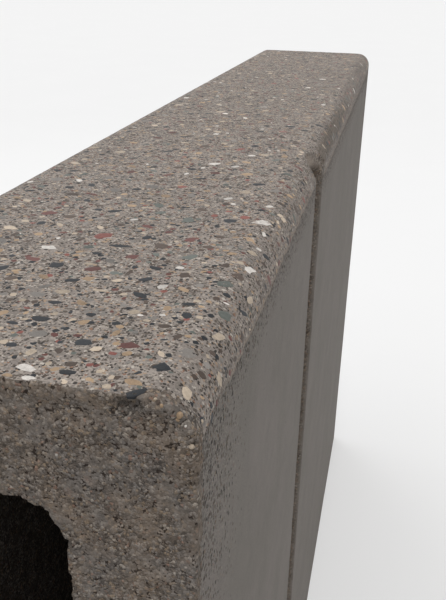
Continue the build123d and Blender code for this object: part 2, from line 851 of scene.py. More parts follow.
@dataclass(frozen=True)
class GroundFinish:
    """The ground face: sand and small gravel cut flat in pale paste, with a few pits, which are painted dark
    as shade.

    Each layer of chips has a size, its kinds, the share of cells that hold one, and its least and
    greatest reach. The gravel is the last.
    """

    paste: tuple = paint(147, 138, 131)
    dusty_paste: tuple = paint(131, 123, 117)
    # Painted shade: the dark colour laid into the pits.
    pit: tuple = paint(50, 45, 41)
    chips: tuple = (
        (0.9 * MM, Sand, 0.9, (0.35, 0.7)),
        (1.6 * MM, Sand, 0.32, (0.25, 0.55)),
        (2.7 * MM, Stone, 0.3, (0.2, 0.5)),
    )
    pit_size: float = 3.4 * MM
    roughness: float = 0.6

    def lay(self, nodes: Nodes, place: object) -> Surface:
        """Builds the finish: paste, then sand, then gravel, each cut by the ground face, and pits painted
        dark as shade.

        Args:
            nodes: The tree to add to.
            place: Object coordinates.

        Returns:
            The finish.
        """
        dusty = nodes.noise(place, 11 * MM, 3.0).step(0.35, 0.65)
        colour = nodes.mix(dusty, self.paste, self.dusty_paste)
        cloud = nodes.noise(place, 26 * MM, 2.0) * 0.5
        colour = nodes.shade_by(colour, nodes.noise(place, 0.5 * MM, 3.0) * 1.3 + cloud + 0.1)
        for chips in self.chips:
            colour, gravel = nodes.strew(colour, place, *chips)
        pits = nodes.cells(nodes.warp(place, 1 * MM, 0.4 * MM), self.pit_size)
        _, deep, _ = nodes.parts(pits["Color"])
        pit = pits["Distance"].step(0.17, 0.11) * (deep > 0.55)
        # Painted shade: each pit is darkened towards a near black colour.
        colour = nodes.mix(pit * 0.8, colour, self.pit)
        height = nodes.noise(place, 0.9 * MM, 3.0) * 0.08 - pit * 0.5
        return Surface(nodes, colour, self.roughness - gravel * 0.12 + pit * 0.25, height)


@dataclass(frozen=True)
class Pinhole:
    """A small air hole in the front face: place along Y and up Z, and radius, in millimetres."""

    along: float
    up: float
    radius: float


@dataclass(frozen=True)
class CastFinish:
    """The face cast against the mould: close grey skin with faint clouds, specks, and pinholes painted dark
    as shade.
    """

    skin: tuple = paint(118, 112, 107)
    cloud: tuple = paint(112, 107, 101)
    # Painted shade: the dark colour laid into the pinholes and small holes. The dark specks take it too, as
    # their own colour.
    hole: tuple = paint(60, 56, 52)
    roughness: float = 0.62
    pinholes: tuple = (
        Pinhole(-298, 560.5, 0.9),
        Pinhole(-366, 577.4, 0.8),
        Pinhole(-368, 576.0, 0.9),
        Pinhole(-432.3, 549, 0.6),
        Pinhole(-424.2, 526.4, 0.5),
        Pinhole(-338, 541, 0.5),
    )

    def lay(self, nodes: Nodes, place: object, wear: Value, face: float) -> Surface:
        """Builds the finish. Wear, from 0 to 1, brings out the sand near the arrises.

        Args:
            nodes: The tree to add to.
            place: Object coordinates.
            wear: How far the skin is worn through to the sand.
            face: Where the front face lies along X, in metres.

        Returns:
            The finish.
        """
        clouds = nodes.noise(place, 70 * MM, 4.0).step(0.3, 0.7)
        colour = nodes.mix(clouds, self.skin, self.cloud)
        fine = nodes.noise(place, 0.9 * MM, 3.0)
        tone = fine * (wear * 1.9 + 0.5)
        tone = tone + nodes.noise(place, 6 * MM, 2.0) * 0.24 + nodes.noise(place, 28 * MM, 2.0) * 0.16
        colour = nodes.shade_by(colour, tone + 0.55 - wear * 0.5)
        colour, grains = nodes.strew(colour, place, 1.3 * MM, BareSand, wear * 0.95, (0.28, 0.64))
        colour, chips = nodes.strew(colour, place, 1.9 * MM, BareSand, wear * 0.55, (0.22, 0.5))
        specks = nodes.cells(place, 4.5 * MM)
        _, dark, rare = nodes.parts(specks["Color"])
        speck = specks["Distance"].step(0.13, 0.07) * (rare > 0.6)
        colour = nodes.mix(speck * (dark * 0.35 + 0.1), colour, self.hole)
        hole = nodes.cells(place, 30 * MM)["Distance"].step(0.024, 0.016)
        for pin in self.pinholes:
            spot = (face, pin.along * MM, pin.up * MM)
            inputs = {0: place, 1: spot}
            away = nodes.add("ShaderNodeVectorMath", {"operation": "DISTANCE"}, inputs)["Value"]
            hole = hole.either(away.step(pin.radius * MM * 1.2, pin.radius * MM * 0.7))
        # Painted shade: the pinholes and small holes are darkened.
        colour = nodes.mix(hole * 0.75, colour, self.hole)
        height = fine * (wear * 2.0 + 0.15) + nodes.noise(place, 14 * MM) * 0.1 - hole * 0.5
        return Surface(nodes, colour, self.roughness, height + grains.either(chips) * 0.45)


@dataclass(frozen=True)
class TornFinish:
    """Bare dry mix: grains of sand filmed with brown and grey paste, each grain painted lighter at its middle
    and darker at its edge as light and shade, and painted shade in the crevices between.
    """

    brown: tuple = paint(123, 111, 100)
    grey: tuple = paint(113, 107, 102)
    # Painted shade: the near black colour laid into the crevices between grains.
    gap: tuple = paint(35, 27, 23)
    # Painted shade: how strongly the crevices are darkened.
    crevice_shade: float = 1.0
    roughness: float = 0.85

    def lay(self, nodes: Nodes, place: object, deep: Value | float, tint: Value | float) -> Surface:
        """Builds the finish: clouds of two pastes, packed grains in their own tints, painted light on the
        grains' middles, and painted shade at their edges, in the crevices and where the relief lies deep.

        Args:
            nodes: The tree to add to.
            place: Object coordinates.
            deep: How deep the shape's own relief lies there, from 0 to 1. Deeper places are painted darker as
                shade.
            tint: The random number of the grain that stands out there.

        Returns:
            The finish.
        """
        colour = nodes.mix(nodes.noise(place, 12 * MM, 3.0).step(0.35, 0.65), self.brown, self.grey)
        colour = nodes.mix(0.18 - deep * 0.15, colour, nodes.pick(BareSand, tint))
        grains = nodes.cells(nodes.warp(place, 0.7 * MM, 0.25 * MM), 0.85 * MM)
        kind, tone, _ = nodes.parts(grains["Color"])
        dome = 1 - grains["Distance"]
        fine, middling = nodes.noise(place, 0.45 * MM, 2.0), nodes.noise(place, 1.8 * MM, 2.0)
        lively = nodes.noise(place, 7 * MM, 3.0).step(0.35, 0.6) * 0.6 + 0.4
        colour = nodes.mix(lively * 0.55, colour, nodes.pick(BareSand, kind))
        # Painted light and shade: each grain's middle is lightened and its edge darkened.
        colour = nodes.shade_by(colour, (dome * 0.46 + tone * 0.46 + fine * 1.3 - 1.1) * lively + 1.0)
        # Painted shade: the crevices between grains, and the places where the relief lies deep, are darkened.
        gaps = (middling + dome * 0.3 - deep * 0.08).step(0.50, 0.44) * self.crevice_shade
        colour = nodes.mix(gaps * 0.8, colour, self.gap)
        # Painted shade: darker where the relief lies deep.
        colour = nodes.shade_by(colour, 1.1 - deep * 0.06)
        height = (dome * 0.4 + fine * 0.35) * lively + middling * 0.2
        return Surface(nodes, colour, self.roughness, height)


@dataclass(frozen=True)
class KerbConcrete:
    """The one concrete of the kerb, dressed by where on the casting a place lies.

    Worn_below, like heights above the ground zone's edge, is in millimetres.
    """

    shape: KerbShape
    ground: GroundFinish = GroundFinish()
    cast: CastFinish = CastFinish()
    torn: TornFinish = TornFinish()
    grooved: TornFinish = TornFinish(paint(112, 101, 91), paint(99, 92, 85), crevice_shade=0.3)
    # Painted shade: the hollow's lining is given a near black concrete, for the shade deep inside it.
    hollow: TornFinish = TornFinish(paint(43, 39, 35), paint(38, 35, 33), crevice_shade=0.5)
    dust: tuple = paint(140, 130, 121)
    stain: tuple = paint(83, 74, 65)
    worn_along: float = 80 * MM
    worn_down: float = 150 * MM
    worn_arris: float = 14 * MM
    worn_below: float = 22
    stain_fades: float = 60 * MM
    stain_ends: float = 330 * MM
    stain_strength: float = 0.65
    # Painted shade with some grime: how much the front round is darkened.
    round_shade_and_grime: float = 0.18
    # Painted light: how strongly the groove's mouth is lightened.
    mouth_painted_light: float = 0.9

    def material(self) -> bpy.types.Material:
        """Blends the finishes: cast skin, then the ground zone and its rim, then what is broken or bare. The
        front round carries painted shade, partly grime, the groove's mouth painted light, and the hollow
        painted shade.

        Returns:
            The material that every part of the casting wears.
        """
        nodes, shape = Nodes(bpy.data.materials.new("concrete")), self.shape
        place = nodes.place()
        split = nodes.add("ShaderNodeSeparateXYZ", {}, {"Vector": place})
        x, y, z = split["X"], split["Y"], split["Z"]
        fray = nodes.noise(place, 1.3 * MM, 3.0) * 2 - 1
        above = nodes.mark("above") + fray * 1.1
        surface = self.cast.lay(nodes, place, self.wear(y, z, above), shape.half_width)
        crumbs = nodes.shade_by(self.dust, nodes.noise(place, 0.9 * MM, 2.0) * 1.2 + 0.4)
        rim = above.step(-2.0, -1.0) * abs(y).step(shape.half_length - 5 * MM, shape.half_length - 60 * MM)
        surface = surface.under(rim, Surface(nodes, crumbs, 0.8, fray * 0.3))
        ground = self.ground.lay(nodes, place)
        # Painted shade with some grime: the ground finish is darkened over the front round.
        shaded_and_grimy = x.step(shape.half_top, shape.half_top + 9 * MM) * self.round_shade_and_grime
        ground = replace(ground, colour=nodes.shade_by(ground.colour, 1 - shaded_and_grimy))
        surface = surface.under(above.step(-0.2, 0.3), ground)
        bare = self.torn.lay(nodes, place, nodes.mark("deep"), nodes.mark("tint"))
        surface = surface.under((self.broken(nodes, place, x, y) + fray * 0.5).step(0.35, 0.65), bare)
        surface = surface.tinted(self.stained(x, y, z) * self.stain_strength, self.stain)
        groove = nodes.mark("groove")
        surface = surface.under(groove, self.grooved.lay(nodes, place, 0.3, 0.5))
        # Painted light: near the top, the groove's mouth takes a dust colour lightened by a third, so that it
        # looks lit.
        lit_mouth = groove * z.step(shape.height - 17 * MM, shape.height - 7 * MM)
        surface = surface.tinted(lit_mouth * self.mouth_painted_light, nodes.shade_by(crumbs, 1.3))
        # Painted shade: where the mark says hollow, the near black hollow finish is laid.
        return nodes.finish(surface.under(nodes.mark("hollow"), self.hollow.lay(nodes, place, 0.4, 0.5)))

    def wear(self, y: Value, z: Value, above: Value) -> Value:
        """How far the cast skin is worn: at the upper ends, at the end arrises and under the ground zone.

        Args:
            y: Place along the kerb.
            z: Height.
            above: Height above the ground zone's edge, in millimetres.

        Returns:
            The wear, from 0 to 1.
        """
        shape = self.shape
        by_end = abs(y).step(shape.half_length - self.worn_along, shape.half_length)
        by_end = by_end * z.step(shape.height - self.worn_down, shape.height)
        arris = abs(y).step(shape.half_length - self.worn_arris, shape.half_length) * 0.6
        return by_end.either(arris).either(above.step(-self.worn_below, -1) * 0.7)

    def broken(self, nodes: Nodes, place: object, x: Value, y: Value) -> Value:
        """What is broken: the points so marked, and ragged patches by the ends, most on the rounds.

        Args:
            nodes: The tree to add to.
            place: Object coordinates.
            x: Place across the kerb.
            y: Place along it.

        Returns:
            A mask that is 1 where the concrete is broken.
        """
        shape = self.shape
        ends = abs(y).step(shape.half_length - 13 * MM, shape.half_length)
        rounds = abs(x).step(shape.half_top - 6 * MM, shape.half_top + 6 * MM)
        ragged = ends * (rounds * 0.45 + 0.33) + nodes.noise(place, 2.6 * MM, 3.0)
        return nodes.mark("broken").either(ragged.step(0.84, 0.94))

    def stained(self, x: Value, y: Value, z: Value) -> Value:
        """The dark stain on the front round, strongest just past the groove.

        Args:
            x: Place across the kerb.
            y: Place along it.
            z: Height.

        Returns:
            The stain, from 0 to 1.
        """
        top = self.shape.height
        past = self.shape.groove_middle + self.shape.groove_width / 2
        band = z.step(top - 16 * MM, top - 11 * MM) * z.step(top - 1.5 * MM, top - 5 * MM) * (x > 0)
        run = y.step(past - 6 * MM, past + 4 * MM) * y.step(past + self.stain_ends, past + self.stain_fades)
        return band * run


@dataclass(frozen=True)
class EndSlab:
    """One end of the casting: the last few millimetres of the tube, with its torn face.

    Fine and coarse are the steps between points. Uneven and the lip's layers hold the size and the
    reach of each noise, and packings those of sand, grit and lumps.
    """

    shape: KerbShape
    skin: Skin
    name: str
    outward: int
    fine: float
    coarse: float
    fine_above: float = 535 * MM
    arris: float = 0.6 * MM
    uneven: tuple = ((18 * MM, 0.35 * MM), (6 * MM, 0.3 * MM), (2.6 * MM, 0.22 * MM))
    lip_layers: tuple = ((5 * MM, 0.7 * MM), (2.4 * MM, 1.1 * MM), (1.4 * MM, 0.9 * MM))
    packings: tuple = ((1.9 * MM, 0.35 * MM), (3.4 * MM, 0.4 * MM), (7 * MM, 0.9 * MM))
    corner_wear: float = 2.8 * MM
    outer_bites: int = 450
    inner_bites: int = 520
    least_bite: float = 0.6 * MM
    bite_spread: float = 2.6 * MM
    bitten_grain: float = 1.7 * MM
    bitten_relief: float = 0.7 * MM
    folds: int = 5
    seed: int = 11

    def stations(self) -> Stations:
        """Shares round the section, closer together near the top, where the face is seen from near.

        Returns:
            The shares along each side, corner, the top and the bed.
        """
        shape = self.shape
        foot = spaced(0, self.fine_above, self.coarse)
        side = np.concatenate([foot, spaced(self.fine_above, shape.height, self.fine)])
        return Stations(
            side=side / shape.height,
            top_corner=spaced(0, 1, self.fine / shape.arris_length),
            top=spaced(0, 1, self.fine / shape.half_top / 2),
            foot_corner=spaced(0, 1, 0.2),
            bed=spaced(0, 1, self.coarse / shape.half_width / 2),
        )

    def path(self) -> tuple[np.ndarray, np.ndarray]:
        """The walk from the outer face over the end to the hollow: share across the wall, and Y depth.

        The two arrises are quarter circles, and depth is measured in from the end's plane. Steps
        on the outer face grow with depth.

        Returns:
            The share across the wall and the depth at each station.
        """
        wall, round_over, thickness = self.shape.wall, self.arris, self.shape.end_thickness
        turn = spaced(0, math.pi / 2, math.pi / 8)
        run = thickness - round_over
        outer_wrap = round_over + run * spaced(1, 0, 1.3 * self.fine / run) ** 1.5
        inner_wrap = spaced(thickness, round_over, self.fine * 1.3)[::-1]
        face = spaced(round_over, wall - round_over, self.fine * 1.1)
        rise, fall = round_over * (1 - np.cos(turn)), round_over * (1 - np.sin(turn))
        across = [0 * outer_wrap, rise, face, wall - fall, 0 * inner_wrap + wall]
        depth = [outer_wrap, fall, 0 * face, rise, inner_wrap]
        return np.concatenate(across) / wall, np.concatenate(depth)

    def ease(self, across: np.ndarray, depth: np.ndarray, loop: np.ndarray) -> tuple[np.ndarray, np.ndarray]:
        """Wears the outer arris round, more so where it runs over the top's rounds.

        A point nearer than a radius to both faces moves on to the circle of that radius that
        touches them. The radius is the arris's own plus a wear that wanders along it.

        Args:
            across: How far in from the outer face each point lies, by row and column.
            depth: How far in from the end's plane it lies.
            loop: The outer loop, two numbers a column.

        Returns:
            The two distances after wear.
        """
        shape = self.shape
        on_round = smooth_step(np.abs(loop[:, 0]), shape.half_top - 8 * MM, shape.half_top + 4 * MM)
        on_round = on_round * shape.rise(loop[:, 1], 40 * MM, 12 * MM)
        wander = 0.8 + layered_noise(upright(loop), ((7 * MM, 0.5), (2.5 * MM, 0.3)), self.seed + 50)
        radius = self.arris + self.corner_wear * (0.06 + 0.94 * on_round) * wander
        x, y = across - radius, depth - radius
        away = np.maximum(np.hypot(x, y), 1e-9)
        pull = np.where((x < 0) & (y < 0) & (away > radius), radius / away, 1)
        return radius + x * pull, radius + y * pull

    def recess(self, flat: np.ndarray) -> tuple[np.ndarray, dict[str, np.ndarray]]:
        """How far the torn face lies in from the end's plane, at places on the flat section.

        It is the gaps between two sizes of packed grain, coarser lumps that open up in a band
        below the top, and three layers of smooth noise.

        Args:
            flat: Places on the section, three numbers each.

        Returns:
            The recess in metres, and for the finish how deep the gaps are, which it paints darker as shade,
            and each grain's tint.
        """
        sizes, reliefs = zip(*self.packings)
        seeds = (self.seed, self.seed + 9, self.seed + 5)
        domes = [grain_domes(flat, size, seed) for size, seed in zip(sizes, seeds)]
        (sand, _), (grit, tint), (lumps, _) = domes
        band = self.shape.rise(flat[..., 2], 16 * MM, 8 * MM) * self.shape.rise(flat[..., 2], 1 * MM, 8 * MM)
        crumbly = 0.15 + 0.8 * band * smooth_step(soft_noise(flat, 17 * MM, self.seed + 15), -0.3, 0.6)
        gaps = (1 - sand, 1 - grit, (1 - lumps) * crumbly)
        opened = sum(gap * relief for gap, relief in zip(gaps, reliefs))
        reach = sum(layer[1] for layer in self.uneven)
        rough = 0.6 * (reach + layered_noise(flat, self.uneven, self.seed + 20))
        return opened + rough, {"deep": smooth_step(opened, 0.5 * MM, 1.6 * MM), "tint": tint}

    def bites(
        self, rng: np.random.Generator, loop: np.ndarray, side: int, count: int
    ) -> list[tuple[np.ndarray, float]]:
        """Balls that chip an arris, with their middles strewn along it, a little way off the concrete.

        Args:
            rng: The random source.
            loop: The arris, two numbers a point.
            side: 1 where the air is outside the loop, and -1 where it is inside.
            count: How many.

        Returns:
            The middle and the radius of each ball.
        """
        step = np.roll(loop, -1, axis=0) - loop
        run = np.linalg.norm(step, axis=1)
        index = np.searchsorted(np.cumsum(run), rng.random(count) * run.sum()) % len(loop)
        radius = self.least_bite + self.bite_spread * rng.random(count) ** 4
        off = side * np.stack([step[index, 1], -step[index, 0]], axis=1) / run[index, None]
        flat = loop[index] + off * (0.3 * radius)[:, None] + rng.normal(0, 0.3 * MM, (count, 2))
        y = self.outward * (self.shape.half_length - 0.8 * MM + 0.25 * radius)
        return list(zip(upright(flat, y), radius))

    def section(
        self, outer: np.ndarray, inner: np.ndarray, across: np.ndarray, depth: np.ndarray
    ) -> np.ndarray:
        """Places on the flat section between the two loops, with the hollow's lip frayed.

        A place is outer + (inner - outer) * share. Noise that depends on the place round the hollow
        moves it into the wall, less so with the distance from the lip.

        Args:
            outer: The outer loop, two numbers a point.
            inner: The hollow's loop.
            across: How far in from the outer face each place lies, by row and column.
            depth: How far in from the end's plane it lies.

        Returns:
            The places, three numbers each.
        """
        wall = self.shape.wall
        places = outer[None] + (inner - outer)[None] * (across / wall)[..., None]
        into_wall = (outer - inner) / np.linalg.norm(outer - inner, axis=1, keepdims=True)
        lip = np.clip(layered_noise(upright(inner), self.lip_layers, self.seed + 30) + 0.1 * MM, 0, None)
        fade = smooth_step(wall - across, 7 * MM, 1 * MM) * smooth_step(depth, 11.5 * MM, 4 * MM)
        return upright(places + into_wall[None] * (fade * lip[None])[..., None], float(self.outward))

    def chip(
        self, points: np.ndarray, movable: np.ndarray, balls: list[tuple[np.ndarray, float]]
    ) -> np.ndarray:
        """Pushes each point that a ragged ball holds out to the ball's surface, one ball after another.

        Args:
            points: The end's points, which are changed.
            movable: Which of them may move.
            balls: The middle and the radius of each ball.

        Returns:
            How far each point was pushed, three numbers each.
        """
        start = points.copy()
        for middle, radius in balls:
            away = points - middle
            near = np.einsum("ij,ij->i", away, away) < (1.3 * radius) ** 2
            held = np.flatnonzero(movable & near)
            far = np.linalg.norm(away[held], axis=1)
            ragged = radius * (1 + 0.25 * soft_noise(points[held], 1.1 * MM, self.seed + 40))
            push = np.maximum(ragged / np.maximum(far, 1e-9), 1)
            points[held] = middle + away[held] * push[:, None]
        return points - start

    def build(self, material: bpy.types.Material, chips: tuple = ()) -> tuple[np.ndarray, np.ndarray]:
        """Builds the end: a loop carried over the path, roughened, and chipped at its arrises.

        The recess moves a point along Y, less so with depth. Bitten points then go further the
        same way, by the gaps of a fine packing of grains.

        Args:
            material: The kerb's concrete.
            chips: The middle and radius of each larger chip, given one by one.

        Returns:
            The end's points, and which of them are on the torn face.
        """
        shape, stations = self.shape, self.stations()
        outer, inner = (shape.loop(stations, inner) for inner in (False, True))
        share, depth = self.path()
        row_steps = np.hypot(np.diff(share, append=0) * shape.wall, np.diff(depth, append=0))
        row_steps[-1] = 2 * MM
        column_steps = np.linalg.norm(np.roll(outer, -1, axis=0) - outer, axis=1)
        faces, flat_map = weave(row_steps, column_steps, True, self.folds, turned=self.outward > 0)
        outside = (share < 0.5)[:, None]
        across, depth = self.ease((share * shape.wall)[:, None], depth[:, None], outer)
        grid = self.section(outer, inner, across, depth)
        recess, marks = self.recess(grid)
        moved_in = depth + recess * (1 - depth / shape.end_thickness)
        grid[..., 1] = self.outward * (shape.half_length - moved_in)
        grid, marks["above"] = self.skin.settle(grid)
        points = grid.reshape(-1, 3)
        fine, _ = grain_domes(points, self.bitten_grain, self.seed + 60)
        rng = np.random.default_rng(self.seed)
        outer_balls = self.bites(rng, outer, 1, self.outer_bites)
        inner_balls = self.bites(rng, inner, -1, self.inner_bites)
        movable = (depth < shape.end_thickness - 2 * MM).ravel()
        push = self.chip(points, movable, [*chips, *outer_balls, *inner_balls])
        pushed = np.linalg.norm(push, axis=1)
        bitten = smooth_step(pushed, 0.15 * MM, 0.5 * MM)
        further = self.bitten_relief * bitten * (1 - fine)
        points += push * (further / np.maximum(pushed, 1e-9))[:, None]
        points = np.clip(points, *shape.limits())
        torn = np.where(outside, smooth_step(depth - 0.2 * across, 0.5 * MM, 0.1 * MM), 1.0)
        # Places chipped deep are marked deep, which the finish paints darker as shade.
        marks["deep"] = np.maximum(marks["deep"].ravel(), smooth_step(pushed, 1 * MM, 3 * MM))
        marks["broken"] = np.maximum(bitten, torn.ravel())
        # The hollow mark: the finish paints these places near black as shade, fading in over the first few
        # millimetres.
        marks["hollow"] = smooth_step(depth, 0.6 * MM, 6 * MM) * ~outside
        make_piece(self.name, points, faces, material, marks, flat_map, sharp_from=75)
        return points, (marks["broken"] > 0.6) & (marks["hollow"].ravel() < 0.2)


@dataclass(frozen=True)
class Groove:
    """The upright groove: how its floor, drafted sides and lips bend the front face inwards."""

    shape: KerbShape
    lip_wander: float = 0.7 * MM
    near_wear: float = 4 * MM
    near_closing: float = 9 * MM
    ramp_from: float = -7 * MM
    ramp_to: float = 31 * MM
    pitch: float = 0.9 * MM
    seed: int = 61

    def rows(self, near_pitch: float, far_pitch: float) -> np.ndarray:
        """Y stations between the end slabs, wider apart with distance, and close across the groove.

        The stations are at near + a * (r^n - 1), whose pitch grows in proportion to the distance
        from a point short of the near end.

        Args:
            near_pitch: The step at the near end.
            far_pitch: The step at the far end.

        Returns:
            The stations in order, both ends included.
        """
        end = self.shape.inner_end
        if far_pitch > near_pitch:
            lead = 2 * end / (far_pitch / near_pitch - 1)
            count = round(math.log1p(2 * end / lead) / math.log1p(near_pitch / lead))
            rows = np.geomspace(lead, lead + 2 * end, count + 1) - lead - end
        else:
            rows = np.append(spaced(-end, end, near_pitch), end)
        middle, half = self.shape.groove_middle, self.shape.groove_width / 2
        low, high = middle - half - 6 * MM, middle + self.ramp_to + 3 * MM
        clear = (rows < low - 0.5 * MM) | (rows > high + 0.5 * MM)
        across = np.append(spaced(low, high, self.pitch), high)
        return np.sort(np.concatenate([rows[clear], across]))

    def halves(self, near_pitch: float, far_pitch: float) -> tuple[np.ndarray, np.ndarray]:
        """Splits the rows at the one nearest to the kerb's middle, which both halves keep.

        Args:
            near_pitch: The step at the near end.
            far_pitch: The step at the far end.

        Returns:
            The rows of the near half and those of the far half.
        """
        rows = self.rows(near_pitch, far_pitch)
        halfway = int(np.argmin(np.abs(rows)))
        return rows[: halfway + 1], rows[halfway:]

    def press(self, grid: np.ndarray) -> tuple[np.ndarray, np.ndarray]:
        """Presses the groove into a grid's front face.

        The floor lies at the cast depth. Each side rises over its draft by a smooth step, so that
        its lip is rounded. In the round at the top the near lip is rubbed back, and the far side
        turns into a gentle ramp. Both sides wander with noise over the height.

        Args:
            grid: Places on the casting, three numbers each.

        Returns:
            The pressed places, and how far into the groove each lies, from 0 to 1.
        """
        shape = self.shape
        x, y, z = grid[..., 0], grid[..., 1], grid[..., 2]
        half, side = shape.groove_width / 2, shape.groove_side
        ramp, worn = shape.rise(z, 19 * MM, 10 * MM), shape.rise(z, 17 * MM, 9 * MM)
        closing = shape.rise(z, 4 * MM, 1 * MM)
        line = np.stack([0 * z, 0 * z, z], axis=-1)
        layers = ((9 * MM, self.lip_wander), (3 * MM, 0.5 * self.lip_wander))
        near = -half + layered_noise(line, layers, self.seed)
        near = near - self.near_wear * worn * (1 - closing) + self.near_closing * closing
        lip = half + layered_noise(line, layers, self.seed + 5)
        foot = lip - side
        lip, foot = lip + (self.ramp_to - lip) * ramp, foot + (self.ramp_from - foot) * ramp
        place = y - shape.groove_middle
        into = smooth_step(place, near - 0.3 * side, near + side) * smooth_step(place, lip + 0.3 * side, foot)
        pressed_x = np.minimum(x, shape.half_width - shape.groove_depth * into)
        mark = smooth_step(x - pressed_x, 0.3 * MM, 2.0 * MM + 6 * MM * worn) * (x > 0)
        return np.stack([pressed_x, y, z], axis=-1), mark


@dataclass(frozen=True)
class GroundTop:
    """The top of the casting between its ends: the ground flat, both rounds and the upper sides.

    The face that closes each end lies in a thin strip at one edge of the flat map.
    """

    shape: KerbShape
    skin: Skin
    groove: Groove
    near_pitch: float = 1.1 * MM
    far_pitch: float = 3 * MM
    round_pitch: float = 1.05 * MM
    flat_pitch: float = 1.9 * MM
    strips: tuple = (0.0005, 0.9955)
    strip_width: float = 0.004

    def build(self, material: bpy.types.Material) -> None:
        """Builds the cap in a near and a far half, which meet at a shared row of points.

        Args:
            material: The kerb's concrete.
        """
        near, far = self.groove.halves(self.near_pitch, self.far_pitch)
        self.build_half("near_top", near, material)
        self.build_half("far_top", far, material)

    def build_half(self, name: str, rows: np.ndarray, material: bpy.types.Material) -> None:
        """Builds one half: the outline from side to side, carried along the kerb and closed below.

        Args:
            name: The half's name.
            rows: Its stations along Y.
            material: The kerb's concrete.
        """
        shape = self.shape
        reach = shape.half_top + shape.arris_length + shape.cap_height - shape.arris_radius
        side = spaced(reach, shape.half_top, self.round_pitch)
        flat = spaced(shape.half_top, 0, self.flat_pitch)
        across = np.concatenate([side, flat, [0.0], -flat[::-1], -side[::-1]])
        grid = shape.on_top(across[None, :], rows[:, None], np.zeros((1, 1)))
        grid, into = self.groove.press(grid)
        grid, above = self.skin.settle(grid)
        points, columns = grid.reshape(-1, 3), len(across)
        faces, flat_map = weave(np.diff(rows), np.append(np.abs(np.diff(across)), 2 * MM), False)
        caps = [np.arange(columns), np.arange(len(points) - columns, len(points))[::-1]]
        corners = [flat_map.reshape(-1, 2)]
        for cap, left in zip(caps, self.strips):
            spot = points[cap][:, [0, 2]] - [-shape.half_width, shape.height - shape.cap_height]
            corners.append(left + self.strip_width * spot / [2 * shape.half_width, shape.cap_height])
        marks = {"groove": into, "above": above}
        everything = faces.tolist() + [cap.tolist() for cap in caps]
        make_piece(name, points, everything, material, marks, np.concatenate(corners))


@dataclass(frozen=True)
class CastWalls:
    """The walls below the top: both cast sides, the bed and the hollow's lining."""

    shape: KerbShape
    skin: Skin
    groove: Groove
    pitch: float = 11 * MM
    front_pitch: float = 3.2 * MM

    def build(self, material: bpy.types.Material) -> None:
        """Builds the walls in a near and a far half.

        Args:
            material: The kerb's concrete.
        """
        near, far = self.groove.halves(self.pitch, self.pitch)
        self.build_half("near_walls", near, material)
        self.build_half("far_walls", far, material)

    def build_half(self, name: str, rows: np.ndarray, material: bpy.types.Material) -> None:
        """Builds one half as a closed tube: out along the outer loop and back along the hollow.

        The outer loop's top is flat, under the ground cap, so its corners there are square.

        Args:
            name: The half's name.
            rows: Its stations along Y.
            material: The kerb's concrete.
        """
        shape = self.shape
        top = shape.height - shape.cap_height
        across, corner = spaced(0, 1, self.pitch / shape.half_width / 2), spaced(0, 1, 0.2)
        stations = Stations(spaced(0, 1, self.front_pitch / top), corner, across, corner, across)
        squared = KerbShape(shape.half_width, shape.half_length, top, arris_radius=0.2 * MM)
        outer, inner = squared.loop(stations, inner=False), shape.loop(stations, inner=True)
        lining = np.append(spaced(rows[-1], rows[0], 2 * self.pitch), rows[0])
        outside, inside = upright(outer[None], rows[:, None]), upright(inner[None], lining[:, None])
        outside, into = self.groove.press(outside)
        outside, above = self.skin.settle(outside)
        grid = np.concatenate([outside, inside])
        row_steps = np.concatenate([np.diff(rows), [3 * MM], 0.3 * np.abs(np.diff(lining)), [3 * MM]])
        column_steps = np.linalg.norm(np.roll(outer, -1, axis=0) - outer, axis=1)
        column_steps = column_steps * np.where(outer[:, 0] > shape.half_width - 1 * MM, 2.0, 0.6)
        faces, flat_map = weave(row_steps, column_steps, True)
        blank = np.zeros(inside.shape[:2])
        marks = {
            "groove": np.concatenate([into, blank]),
            "above": np.concatenate([above, blank - 30]),
            # The lining is marked hollow, which the finish paints near black as shade.
            "hollow": np.concatenate([0 * into, blank + 1]),
        }
        make_piece(name, grid.reshape(-1, 3), faces, material, marks, flat_map)


@dataclass(frozen=True)
class StoneFinish:
    """Stone: the colour of its kind, faintly clouded, under a film of paste where it was never cut."""

    film: tuple = paint(106, 96, 87)
    cut_roughness: float = 0.5

    def material(self) -> bpy.types.Material:
        """Builds the stones' material, which reads each stone's kind, tone and how bare it is.

        Returns:
            The material.
        """
        nodes = Nodes(bpy.data.materials.new("stone"))
        place = nodes.place()
        kind, tone, bare = (nodes.mark(name) for name in ("kind", "tone", "bare"))
        cloud, fleck = nodes.noise(place, 1.6 * MM, 4.0), nodes.noise(place, 0.45 * MM, 2.0)
        colour = nodes.mix(bare, self.film, nodes.pick(Stone, kind))
        colour = nodes.shade_by(colour, tone * 0.55 + cloud * 0.7 + fleck * 0.5 + 0.1)
        height = fleck * (0.3 - bare * 0.26)
        roughness = 0.85 - bare * (0.85 - self.cut_roughness)
        return nodes.finish(Surface(nodes, colour, roughness, height, gloss=0.1))


@dataclass(frozen=True)
class PlacedStone:
    """A listed stone: its kind, its middle on the top's development and its size, in millimetres."""

    kind: Stone
    across: float
    along: float
    length: float
    breadth: float
    turn: float = 0.0


